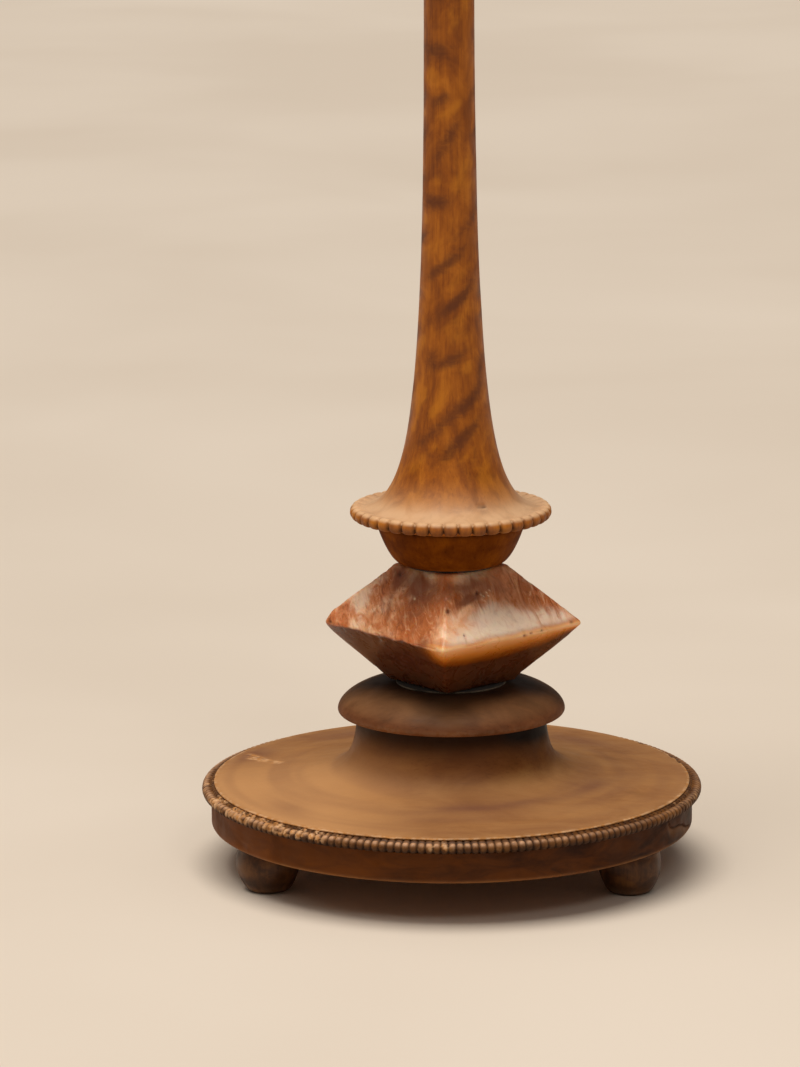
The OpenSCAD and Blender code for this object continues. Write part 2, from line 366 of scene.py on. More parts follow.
def wood(
    name, tones, grain, mottle, streak=0.25, contrast=0.2, dust=None, dust_share=0.0, figure=None,
    gloss=0.5, crest=None, side=None, shine=0.3,
):
    """Stained wood. grain is the size of its fibres along x, y and z, and mottle of its clouds."""
    s = Shader(name)
    fibres = s.noise(grain, 4, 0.6, 0.3)
    pores = s.noise([g * 0.35 for g in grain], 2, 0.5, offset=3.1)
    clouds = s.noise(mottle, 5, 0.6, 0.8, offset=7.3)
    tone = s.plus(s.times(clouds, 1 - streak), s.times(fibres, streak))
    last = len(tones) - 1
    colour = s.ramp(
        s.band(tone, 0.5 - contrast, 0.5 + contrast), [(i / last, t) for i, t in enumerate(tones)]
    )
    if figure:
        attribute, dark, light = figure
        break_up = s.math("SUBTRACT", s.noise([5, 5, 3.2], 6, 0.65, 1.2, offset=1.7), 0.5)
        mark = s.plus(s.attribute(attribute), s.times(break_up, 1.1))
        colour = s.mix(s.band(mark, 0.05, 1.2, 0, 0.85), colour, dark)
        warmth = s.noise([10, 10, 14], 4, 0.55, 0.5, offset=12.9)
        warm = s.math("SUBTRACT", warmth, s.attribute(attribute))
        colour = s.mix(s.band(warm, 0.42, 0.66, 0, 0.6), colour, light)
    colour = s.mix(s.band(pores, 0.56, 0.72, 0, 0.25), colour, tones[0], "MULTIPLY")
    if dust:
        share = s.times(s.band(s.up(), 0.3, 0.95), s.band(clouds, 0.3, 0.65, 0.75, 1.0))
        colour = s.mix(s.times(share, dust_share), colour, dust)
    if side:
        # Painted light: the base's top is lighter on its left.
        colour = s.mix(s.attribute("lit_left"), colour, "c99562")
        colour = s.mix(s.attribute("smudge"), colour, "70483a")
        # The drum's side: a dark stain in patches, darkened further as painted shade, with painted
        # light on its left and painted shade on its right.
        patches = s.band(s.noise((22, 22, 7), 5, 0.65, 0.6, offset=3.3), 0.3, 0.7, 0.25, 0.72)
        side_light = s.plus(patches, s.attribute("side_light"), clamp=True)
        colour = s.mix(s.attribute("side"), colour, s.mix(side_light, side[0], side[1]))
    # Painted shade: darkened to near black on the neck under the collar and on the collar under the
    # stone; on the drip pan it darkens the wood a little.
    colour = s.mix(s.attribute("shade_and_grime"), colour, "170a06")
    # Darkened in cuts, cracks and joints, and as painted shade in the bead cuts, on the beads' lower
    # halves and under the flange, bowl and drum.
    cuts_and_shade = s.attribute("cuts_and_shade")
    colour = s.mix(s.times(cuts_and_shade, 0.85), colour, "1c0d06")
    rubbed = s.noise(5, 4, 0.7, offset=5.9)
    # Painted highlight: the upper crests of the beads and the flange's lip are paler, partly as rubbed
    # wear.
    if crest:
        share = s.times(s.attribute("crest"), s.band(rubbed, 0.3, 0.6, 0.35, 1.0))
        colour = s.mix(share, colour, crest)
    wear = s.times(s.attribute("wear"), s.band(rubbed, 0.25, 0.55, 0.5, 1.0))
    bare = s.mix(s.band(s.noise(2.2, 3, 0.6, offset=7.7), 0.4, 0.6), "cd9052", "e6b88a")
    colour = s.mix(wear, colour, bare)
    s.bump(fibres, 0.02)
    s.bump(pores, 0.012)
    s.bump(s.noise(14, 2, 0.5), 0.05)
    rough = s.band(s.noise(9, 4, 0.6, offset=2.2), 0.3, 0.7, gloss - 0.07, gloss + 0.12)
    rough = s.plus(rough, s.times(cuts_and_shade, 0.3), clamp=True)
    return s.finish(colour, rough, Specular_IOR_Level=shine)


def stone_material():
    s = Shader("clouded_alabaster")
    veil = s.noise(22, 5, 0.6, 1.0)
    milk = s.noise(8, 6, 0.62, 1.3, offset=4.4)
    strands = s.noise([4.2, 10, 24], 5, 0.62, 1.6, turn=(0, 17, 0), offset=2.7)
    wisps = s.noise([2.4, 8, 18], 3, 0.6, 2.0, turn=(0, 17, 0), offset=8.2)
    colour = s.ramp(
        s.band(veil, 0.32, 0.68),
        [(0, "d0875a"), (0.3, "e6a274"), (0.6, "f4bf94"), (1, "fbd9ba")],
    )
    colour = s.mix(s.band(milk, 0.42, 0.64, 0, 0.35), colour, "d8905c")
    spread = s.times(s.math("SUBTRACT", milk, 0.5), 1.5)
    pale = s.plus(s.attribute("pale"), spread)
    colour = s.mix(s.band(pale, 0.1, 1.05, 0, 0.92), colour, "ffe8d2")
    grey = s.plus(s.attribute("grey"), spread)
    colour = s.mix(s.band(grey, 0.2, 1.1, 0, 0.85), colour, "e0c4aa")
    rust = s.attribute("rust")
    strand_share = s.plus(rust, s.times(s.math("SUBTRACT", strands, 0.5), 2.4))
    colour = s.mix(s.band(strand_share, 0.0, 1.0, 0, 0.9), colour, "bd6a35")
    dark_wisp = s.times(rust, s.band(wisps, 0.52, 0.7, 0, 0.75), clamp=True)
    colour = s.mix(dark_wisp, colour, "7d3d1c")
    light_wisp = s.times(rust, s.band(wisps, 0.48, 0.32, 0, 0.8), clamp=True)
    colour = s.mix(light_wisp, colour, "efbd92")
    dusk = s.plus(s.attribute("dusk"), spread)
    colour = s.mix(s.band(dusk, 0.0, 1.15, 0, 0.85), colour, "864a2e")
    # Painted shade: the stone's lower faces are dark.
    lower_face_shade = s.times(s.attribute("lower_face_shade"), s.band(milk, 0.3, 0.7, 1.0, 0.96), clamp=True)
    colour = s.mix(lower_face_shade, colour, "592c12")
    # Painted glow: light shining through the thin edge, as colour on the lower faces near the equator.
    amber = s.attribute("amber")
    glow = s.ramp(
        amber, [(0.0, "552809"), (0.3, "a0550f"), (0.55, "dc8a34"), (0.8, "f8b878"), (1.0, "fbcaa0")]
    )
    colour = s.mix(s.attribute("glow"), colour, glow)
    colour = s.mix(s.attribute("pit"), colour, "4a2010")
    colour = s.mix(s.attribute("glint"), colour, "ffe2bc")
    s.bump(s.noise(5, 3, 0.5), 0.03)
    s.bump(s.noise(0.9, 2, 0.5, offset=6.6), 0.006)
    rough = s.band(milk, 0.3, 0.7, 0.22, 0.38)
    return s.finish(
        colour, rough, Specular_IOR_Level=0.35, Subsurface_Weight=0.5, Subsurface_Scale=0.008,
        Subsurface_Radius=(1.0, 0.42, 0.2),
    )


def felt_material():
    s = Shader("pressed_felt")
    fluff = s.noise(1.1, 5, 0.7)
    fibre = s.noise([0.5, 3.0, 0.5], 4, 0.7, 1.5, offset=2.0)
    tone = s.plus(s.times(fluff, 0.5), s.times(fibre, 0.5))
    colour = s.ramp(s.band(tone, 0.35, 0.65), [(0, "675a48"), (0.5, "8a7a64"), (1, "a6967e")])
    # Painted shade: the felt is darkened all over but for the lower seat's pale rim.
    colour = s.mix(s.attribute("shade_and_grime"), colour, "1c120c")
    s.bump(tone, 0.12)
    return s.finish(colour, 0.9, Sheen_Weight=0.1, Sheen_Roughness=0.5)


def metal_material(name, tones, rough, turned_marks, patina=None):
    """Metal with fine rings of turning or drawing along z, stains and small scratches."""
    s = Shader(name)
    stain = s.noise(7, 5, 0.6, 0.6)
    fine = s.noise(turned_marks, 3, 0.6, offset=1.3)
    colour = s.ramp(s.band(stain, 0.32, 0.68), [(i / (len(tones) - 1), t) for i, t in enumerate(tones)])
    if patina:
        colour = s.mix(s.band(s.noise(3.5, 6, 0.7, offset=9.1), 0.52, 0.7, 0, 0.65), colour, patina)
    s.bump(fine, 0.01)
    s.bump(s.noise(2.5, 3, 0.6, offset=4.0), 0.01)
    level = s.times(s.plus(stain, fine), 0.5)
    return s.finish(colour, s.band(level, 0.35, 0.65, rough - 0.08, rough + 0.14), Metallic=1.0)


# Each slot's material
MATERIALS = {
    "base_wood": wood(
        "base_wood", ["76481f", "8a5629", "9b6734", "a8753f"], grain=(50, 1.8, 2.4),
        mottle=(34, 20, 14), streak=0.15, contrast=0.3, dust="ad8054", dust_share=0.55, gloss=0.55,
        side=("28130a", "743d0c"), shine=0.12,
    ),
    "bead_moulding": wood(
        "bead_wood", ["44250a", "603813", "7c4e1f"], grain=(9, 9, 1.2), mottle=(12, 12, 8),
        gloss=0.42, crest="e6b48c", shine=0.2,
    ),
    "foot_wood": wood(
        "foot_wood", ["321b0b", "4c2c13", "6a421c"], grain=(1.6, 1.6, 8), mottle=(9, 9, 7),
        gloss=0.45,
    ),
    "collar_wood": wood(
        "collar_wood", ["502b14", "6e3f21", "845331"], grain=(40, 1.6, 2.0), mottle=(18, 14, 10),
        streak=0.15, contrast=0.26, dust="80603c", dust_share=0.45, gloss=0.58, shine=0.2,
    ),
    "bowl_wood": wood(
        "bowl_wood", ["562703", "6f3705", "854706"], grain=(1.8, 1.8, 20), mottle=(16, 16, 10),
        gloss=0.62, shine=0.03,
    ),
    "shaft_wood": wood(
        "shaft_wood", ["7f4210", "95500f", "a85e12", "bd701b"], grain=(1.3, 1.3, 30),
        mottle=(8, 8, 14), streak=0.3, dust="e3bb92", dust_share=0.9,
        figure=("figure", "5f3016", "cc7e1a"), gloss=0.48, crest="f2c493",
    ),
    "pink_stone": stone_material(),
    "seat_felt": felt_material(),
    "brass": metal_material("aged_brass", ["8f6a2c", "b8893c", "d3a552"], 0.3, (9, 9, 0.35), "5d4522"),
    "steel": metal_material("zinc_steel", ["8e8f90", "a9aaab", "bfc0c1"], 0.36, (6, 6, 0.3), "6d675f"),
}


def place(piece, node, slot, body="stick"):
    piece.data.materials.append(MATERIALS[slot])
    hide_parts(node)
    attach(piece, body)


# Base, its beading and its feet

SWEEP_GAIN = (NECK_TOP_Z - ARRIS_Z - TOP_FALL * (ARRIS_R - NECK_R)) / (
    1 / (NECK_R - SWEEP_AXIS_R) - 1 / (ARRIS_R - SWEEP_AXIS_R)
)


def base_top(r):
    """Height of the base's top at a radius."""
    climb = 1 / (r - SWEEP_AXIS_R) - 1 / (ARRIS_R - SWEEP_AXIS_R)
    return ARRIS_Z + TOP_FALL * (ARRIS_R - r) + SWEEP_GAIN * climb


# Scratches on the base's top, as start and end in x and y, and width
SCRATCHES = [
    ((-74.0, 33.0), (-67.0, 22.0), 1.1),
    ((-74.4, 29.5), (-66.2, 19.8), 1.0),
    ((-73.8, 26.0), (-65.0, 17.8), 1.3),
    ((-71.0, 22.0), (-63.0, 15.6), 1.1),
    ((-67.5, 21.8), (-61.8, 16.8), 0.9),
]
# Soft dark places on the base's top: x, y, half length, half width, tilt and strength
SMUDGES = [
    (4, -54, 17, 4, 8, 0.55), (26, -46, 14, 3.5, 28, 0.45), (-4, -66, 16, 3.5, 4, 0.25),
    (50, -24, 14, 5, 60, 0.45), (-72, 30, 13, 8, 65, 0.6), (-58, -46, 14, 5, 120, 0.4),
    (-40, 60, 18, 8, 20, 0.5), (48, 48, 20, 8, -40, 0.5), (0, 70, 24, 5, 0, 0.5),
]
# The crack in the base's side, as azimuth from the front in degrees, and height
CRACK = [
    (61.8, 26.0), (63.2, 23.4), (65.0, 22.4), (68.5, 22.2), (71.5, 21.2), (74.5, 19.4), (79.0, 18.2),
]


def shape_base(r, z, a, points):
    noise = cloud(points, 22, 11)
    on_top = smooth(z, ARRIS_Z - 0.9, ARRIS_Z - 0.1) * smooth(r, NECK_R - 3, NECK_R)
    z = z + on_top * (noise - 0.5) * 0.2 * smooth(ARRIS_R - r, -1, 8)
    edge = near(np.hypot(r - ARRIS_R, z - ARRIS_Z), 0, 0.75)
    ragged = cloud(points * [1, 1, 0], 3.2, 21)
    nick = smooth(cloud(points * [1, 1, 0], 7, 5, 2), 0.66, 0.8)
    z = z - edge * (0.12 + 0.35 * nick)
    r = r - edge * (0.08 * ragged + 0.3 * nick)
    wear = edge * (0.45 + 0.55 * ragged) + near(r, ARRIS_R - 1.5, 2.5) * on_top * 0.12 * ragged
    x, y = r * np.cos(a), r * np.sin(a)
    scar = np.zeros_like(r)
    for start, end, width in SCRATCHES:
        scar = np.maximum(scar, stroke(x, y, start, end, width))
    scar = scar * on_top * smooth(cloud(points, 2.2, 31, 3), 0.25, 0.6)
    z = z - 0.14 * scar
    azimuth = from_front(x, y)
    on_side = near(r, DRUM_R, 1.5) * smooth(z, DRUM_Z - 0.5, DRUM_Z + 1.5)
    line = np.interp(azimuth, *zip(*CRACK)) + 0.25 * (cloud(points, 1.5, 33, 2) - 0.5)
    reach = smooth(azimuth, 61, 63) * smooth(azimuth, 80, 77)
    split = near(z, line, 0.24) * reach * on_side
    below = smooth(z, line, line - 0.5) * near(z, line - 1.2, 2.2) * reach * on_side
    r = r - 0.6 * split - 0.25 * below
    dents = smooth(cloud(points, 9, 41, 2), 0.68, 0.85) * on_side
    r = r - 0.3 * dents - 0.08 * on_side * (noise - 0.5)
    lower_edge = near(np.hypot(r - DRUM_R + 0.5, z - DRUM_Z - 0.5), 0, 0.8)
    smudge = sum(patch(x, y, mark) for mark in SMUDGES) * on_top
    left = smooth(-x, -2, 50) * smooth(y, 45, -20)
    bands = cloud(np.stack([r, 30 * np.cos(a), 30 * np.sin(a)], -1), [8, 40, 40], 15)
    smudge = smudge + 0.25 * smooth(bands, 0.45, 0.75) * on_top
    # Painted shade on the neck under the collar, and on the neck's right side.
    shaded = smooth(z, NECK_TOP_Z - 13, NECK_TOP_Z - 1.5) * smooth(r, NECK_R - 2, NECK_R)
    neck_side = smooth(x, 14, 30) * smooth(z, ARRIS_Z + 2, NECK_TOP_Z - 8) * smooth(42 - r, 0, 8)
    under_strip = smooth(STRIP_TOP_Z - 0.2 - z, 0, 0.3) * near(r, ARRIS_R - 1, 1.0)
    fields = {
        # Painted light: the top is lighter on its left.
        "lit_left": np.clip(left * 0.8 * on_top, 0, 1),
        "smudge": np.clip(smudge * (0.5 + 0.8 * noise), 0, 1),
        "wear": np.clip(wear + scar * 0.75 + lower_edge * 0.08 * ragged, 0, 1),
        "cuts_and_shade": np.clip(split + under_strip, 0, 1) * smooth(z, DRUM_Z, DRUM_Z + 2),
        # The side is dark partly by stain and partly as painted shade, and is lighter on the left and
        # darker on the right as painted light and shade.
        "side": np.clip(on_side * (1 - 0.35 * below), 0, 1),
        "side_light": 0.5 * near(azimuth, -62, 42) - 0.1 - 0.18 * near(azimuth, 65, 40),
        "shade_and_grime": np.clip(shaded * 0.9 + 0.3 * neck_side, 0, 1),
    }
    return r, z, fields


sweep_radii = NECK_R + (ARRIS_R - NECK_R) * np.linspace(1, 0, 60) ** 2


def base_step(p):
    """A fine mesh on the side and the top, where marks are cut, and a coarse one elsewhere."""
    if p[0] > DRUM_R - 0.1 and p[1] > DRUM_Z + 1:
        return 0.5
    return 0.8 if p[1] > ARRIS_Z - 0.5 and p[0] > 40 else 6


base_corners = [
    (ROD_HOLE_R, RECESS_TOP_Z),
    (RECESS_R, RECESS_TOP_Z, 0.4), (RECESS_R, DRUM_Z, 0.5),
    (DRUM_R, DRUM_Z, 1.2), (DRUM_R, STRIP_Z),
    (STRIP_SEAT_R, STRIP_Z), (STRIP_SEAT_R, STRIP_TOP_Z), (ARRIS_R, STRIP_TOP_Z),
    *[(r, base_top(r)) for r in sweep_radii],
    (COLLAR_TENON_R + FIT_GAP, NECK_TOP_Z), (COLLAR_TENON_R + FIT_GAP, COLLAR_HOLE_Z),
    (ROD_HOLE_R, COLLAR_HOLE_Z),
]
place(turned("turned_base", base_corners, 800, base_step, shape=shape_base), "base", "base_wood")

BASE_BEADS = 206
BEAD_R = 2.0
BEAD_AT = (RIM_R - BEAD_R, STRIP_Z + BEAD_R)


def shape_beading(r, z, a, points):
    flat = points * [1, 1, 0]
    phase = a * BASE_BEADS / (2 * math.pi) + 0.35 * (cloud(flat, 9, 51) - 0.5)
    cut = np.abs((phase % 1) * 2 - 1) ** 3.4
    away = np.hypot(r - BEAD_AT[0], z - BEAD_AT[1])
    tilt = np.degrees(np.arctan2(z - BEAD_AT[1], r - BEAD_AT[0]))
    ring = smooth(away, BEAD_R - 0.6, BEAD_R - 0.2)
    azimuth = from_front(points[..., 0], points[..., 1])
    rubbed_side = near(azimuth, -62, 38) + 0.55 * near(azimuth, -3, 5) + 0.6 * near(azimuth, 72, 9)
    bare = smooth(cloud(flat, 7, 61, 4) + 0.42 * rubbed_side, 0.72, 0.92)
    flakes = smooth(cloud(points, 1.5, 81, 3) + 0.22 * rubbed_side, 0.56, 0.78) * (0.15 + 0.85 * bare)
    right = smooth(azimuth, 8, 45) * smooth(azimuth, 120, 100)
    depth = (0.75 - 0.1 * bare - 0.3 * right) * cut * ring
    rough = (cloud(points, 1.3, 71, 2) - 0.5) * (0.12 + 0.2 * bare)
    shrink = np.where(ring > 0, 1 - (depth + (0.12 + rough) * ring) / np.maximum(away, 0.5), 1)
    new_r = BEAD_AT[0] + (r - BEAD_AT[0]) * shrink
    new_z = BEAD_AT[1] + (z - BEAD_AT[1]) * shrink
    # The ribs' upper, outer half is paler, a painted highlight with some rubbed wear. The cuts and the
    # ribs' lower half are darkened as painted shade. The joint to the base is a dark line.
    upper = near(tilt, 66, 34) * ring * (1 - 0.6 * right)
    joint = near(r, ARRIS_R + 0.15, 0.3) * (z > BEAD_AT[1])
    fields = {
        "cuts_and_shade": np.clip(cut * 0.9 * ring + joint + smooth(25 - tilt, 0, 75) * ring * 0.75, 0, 1),
        "crest": np.clip((1 - cut) ** 2 * upper * (0.4 + 0.6 * cloud(flat, 5, 91)), 0, 1),
        "wear": np.clip(flakes * (1 - 0.65 * cut) * smooth(tilt, -40, 10) * ring * 0.9, 0, 1),
    }
    return new_r, new_z, fields


beading_corners = [
    (STRIP_SEAT_R, STRIP_Z),
    *arc(BEAD_AT, BEAD_R, -95, 122, 22),
    (ARRIS_R + 1.0, STRIP_TOP_Z - 0.75),
    (ARRIS_R + 0.6, STRIP_TOP_Z, 0.2),
    (STRIP_SEAT_R, STRIP_TOP_Z),
]
place(
    turned("carved_base_beading", beading_corners, BASE_BEADS * 12, 1.2, shape=shape_beading),
    "base_bead_moulding", "bead_moulding",
)

for index, node in enumerate(("foot_front_left", "foot_front_right", "foot_back")):
    low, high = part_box(node)
    centre = ((low.x + high.x) / 2 / MM, (low.y + high.y) / 2 / MM)
    foot_r, top = (high.x - low.x) / 2 / MM, high.z / MM

    def shape_foot(r, z, a, points, seed=index):
        lumps = cloud(points + seed * 40, 8, 91, 2)
        belly = smooth(z, 0.2, 3) * smooth(z, DRUM_Z, DRUM_Z - 2)
        facets = 0.16 + 0.08 * np.cos(a * 7 + seed) + 0.08 * np.cos(a * 3 + 1 + seed)
        r = r - belly * (facets + 0.5 * lumps)
        foot_wear = near(z, 1.4, 1.2) * lumps * 0.25
        # Painted shade at the top of the foot, under the drum.
        return r, z, {"wear": foot_wear, "cuts_and_shade": smooth(z, DRUM_Z - 1.6, DRUM_Z) * 0.6}

    belly_z = 0.58 * DRUM_Z
    flat_r, neck_r, power = 6.2, 9.6, 2 / 1.6
    curve = [
        (flat_r + (foot_r - flat_r) * math.sin(t) ** power, belly_z * (1 - math.cos(t) ** power))
        for t in np.linspace(0, math.pi / 2, 16)
    ] + [
        (neck_r + (foot_r - neck_r) * math.cos(t), belly_z + (DRUM_Z - belly_z) * math.sin(t))
        for t in np.linspace(0.1, math.pi / 2, 16)
    ]
    foot_corners = [(0, 0), *curve, (FOOT_TENON_R, DRUM_Z), (FOOT_TENON_R, top, 0.5), (0, top)]
    place(
        turned("bun_" + node, foot_corners, 96, 1.0, closed=False, shape=shape_foot, at=centre),
        node, "foot_wood",
    )


# Collar, seats, stone and bowl


def shape_collar(r, z, a, points):
    noise = cloud(points, 16, 101)
    outer = smooth(r, 24, 30)
    z = z + outer * (noise - 0.5) * 0.16 * smooth(COLLAR_R - r, 0, 5)
    # The pale band along the lip is partly rubbed wear and partly a painted highlight.
    lip = near(np.hypot(r - COLLAR_R + 0.6, z - COLLAR_EQUATOR_Z + 0.8), 0, 1.5)
    # Painted shade on the collar's top under the stone, and a painted shadow under each of the stone's
    # corners.
    shaded = smooth(38 - r, 0, 16) * smooth(z, COLLAR_EQUATOR_Z, COLLAR_EQUATOR_Z + 4)
    corner = smooth(np.cos(4 * (a - math.radians(STONE_TURN))), -0.2, 1)
    corner = corner * smooth(z, COLLAR_EQUATOR_Z - 1.5, COLLAR_EQUATOR_Z + 4) * smooth(r, 20, 34)
    shade_and_grime = shaded * (0.6 + 0.4 * noise) + 0.38 * corner * (0.4 + noise)
    return r, z, {"wear": lip * 0.3 * noise, "shade_and_grime": np.clip(shade_and_grime, 0, 1)}


COLLAR_FULLNESS = 1.8
shoulder = [
    (
        22 + (COLLAR_R - 22) * math.cos(t) ** (2 / COLLAR_FULLNESS),
        COLLAR_EQUATOR_Z + (COLLAR_TOP_Z - COLLAR_EQUATOR_Z) * math.sin(t) ** (2 / COLLAR_FULLNESS),
    )
    for t in np.linspace(0.02, math.pi / 2, 40)
]
collar_corners = [
    (ROD_HOLE_R, COLLAR_BOTTOM_Z),
    (COLLAR_TENON_R, COLLAR_BOTTOM_Z, 0.4), (COLLAR_TENON_R, NECK_TOP_Z), (NECK_R, NECK_TOP_Z),
    *arc((COLLAR_R - 1.3, COLLAR_EQUATOR_Z), 1.3, -80, 0, 8),
    *shoulder,
    (ROD_HOLE_R, COLLAR_TOP_Z),
]
place(turned("domed_collar", collar_corners, 320, 1.2, shape=shape_collar), "collar", "collar_wood")


def shape_felt(r, z, a, points, open_rim=True):
    """The felt is darkened all over as painted shade, but for the rim of the lower seat, which is open
    to the light.
    """
    outer = r.max()
    fray = cloud(points, 1.6, 111, 2) - 0.5
    new_r = r - smooth(r, outer - 2, outer) * (0.15 + 0.25 * fray)
    pale_rim = smooth(r, outer - 0.5, outer - 0.2) * smooth(cloud(points, 6, 113, 2), 0.25, 0.6)
    return new_r, z, {"shade_and_grime": 0.93 - 0.55 * pale_rim * open_rim}


for name, node, radius, low_z, high_z, open_rim in (
    ("lower_felt_seat", "lower_seat_washer", LOWER_WASHER_R, LOWER_WASHER_Z, STONE_Z, True),
    ("upper_felt_seat", "upper_seat_washer", UPPER_WASHER_R, STONE_TOP_Z, BOWL_Z, False),
):
    corners = [(ROD_HOLE_R, low_z), (radius, low_z, 0.2), (radius, high_z, 0.2), (ROD_HOLE_R, high_z)]
    shape = partial(shape_felt, open_rim=open_rim)
    place(turned(name, corners, 256, 0.6, shape=shape), node, "seat_felt")


def stone_planes():
    """Normals and distances of the stone's faces, from the middle of its height on the axis."""
    side = STONE_HALF_DIAGONAL / math.sqrt(2)
    faces = []
    for quarter in range(4):
        turn = math.radians(45 + STONE_TURN + 90 * quarter)
        for half_diagonal, up in zip(STONE_END_HALF_DIAGONALS, (1, -1)):
            run = side - half_diagonal / math.sqrt(2)
            length = math.hypot(STONE_HALF_H, run)
            out = STONE_HALF_H / length
            normal = (math.cos(turn) * out, math.sin(turn) * out, up * run / length)
            faces.append((normal, side * out))
    return faces


# Marks on the stone's front: x, height from its middle, half length, half width, tilt and strength
STONE_MARKS = {
    "rust": [
        (-26, 4, 17, 11, 40, 0.35), (-20, 6, 15, 7, 74, 0.4), (-12, 5, 14, 6, 70, 0.45),
        (-43.5, 0.8, 5, 4, 60, 1.2), (-37.5, 3.0, 6, 1.6, 80, 0.9), (-8, 8, 10, 5, 66, 0.3),
        (2, 13, 8, 3, 20, 0.8), (-24, 13.5, 7, 1.6, 48, 0.7), (34, 8.8, 9, 2.6, -36, 0.9),
        (13, 12, 6, 3, 20, 0.5), (25, 15, 9, 3, -40, 0.7), (22, 10.5, 7, 2.5, -25, 0.45),
    ],
    "pale": [
        (-32.5, 5.2, 7, 2.2, 76, 0.5), (26, 2.6, 10, 3.6, 0, 0.9), (38.5, 4, 7, 3, -20, 0.9),
        (3, 0.5, 7, 4, 0, 0.6), (14, 3, 10, 4, 0, 0.75), (-9, -0.5, 5, 2, -10, 0.4),
        (19, 8, 9, 3, -20, 0.6), (10, 8, 6, 3, 0, 0.55),
    ],
    "grey": [
        (-31, 10.5, 12, 2.6, 42, 1.2), (-8, 15.5, 6, 3, 10, 0.6), (-6, 7.5, 3, 3, 0, 0.5),
        (8, 16, 7, 2.4, 0, 0.5), (17, 8, 9, 3, -10, 0.35), (31, 7, 9, 3, -25, 0.3),
    ],
    "dusk": [
        (-14, 16.5, 11, 4.2, -14, 0.75), (5, 17.5, 12, 3.4, 0, 0.85), (6.5, 13.0, 4.5, 1.3, 14, 1.2),
        (-22, 8.5, 4, 1.0, 74, 0.7), (16, 14.5, 8, 2.2, -20, 0.4), (46.5, 1.4, 3, 2.6, -35, 0.9),
        (-9.5, 1.0, 2.4, 1.6, 60, 0.8), (-18.2, 17.6, 3.6, 1.1, 62, 1.0), (-13, 10, 8, 4, 60, 0.6),
    ],
    "amber": [(-45, -0.6, 4, 1.6, -25, 0.5)],
}
# Small pits on its front, and after them its painted glints of light: x, height from its middle, radius
STONE_PITS = [
    (-1.2, 11.2, 0.8), (26.2, -0.4, 0.5), (28.6, 0.1, 0.4), (32.7, 0.2, 0.4), (-18.4, 18.6, 0.7),
    (12.0, 13.6, 0.4), (9.4, 14.8, 0.5), (4.6, 3.4, 0.35), (43.4, 1.0, 0.5), (-43.6, 0.4, 0.6),
]
STONE_GLINTS = [
    (-2.2, 11.7, 0.2), (-12.9, 12.6, 0.28), (-41.4, 5.4, 0.25), (-33.4, 0.9, 0.3), (-25.4, 0.5, 0.3),
    (10.6, 14.0, 0.25), (11.6, 13.2, 0.25), (12.6, 14.2, 0.22), (13.2, 13.2, 0.25), (12.0, 12.0, 0.22),
    (13.6, 14.6, 0.2), (11.0, 12.6, 0.2),
]


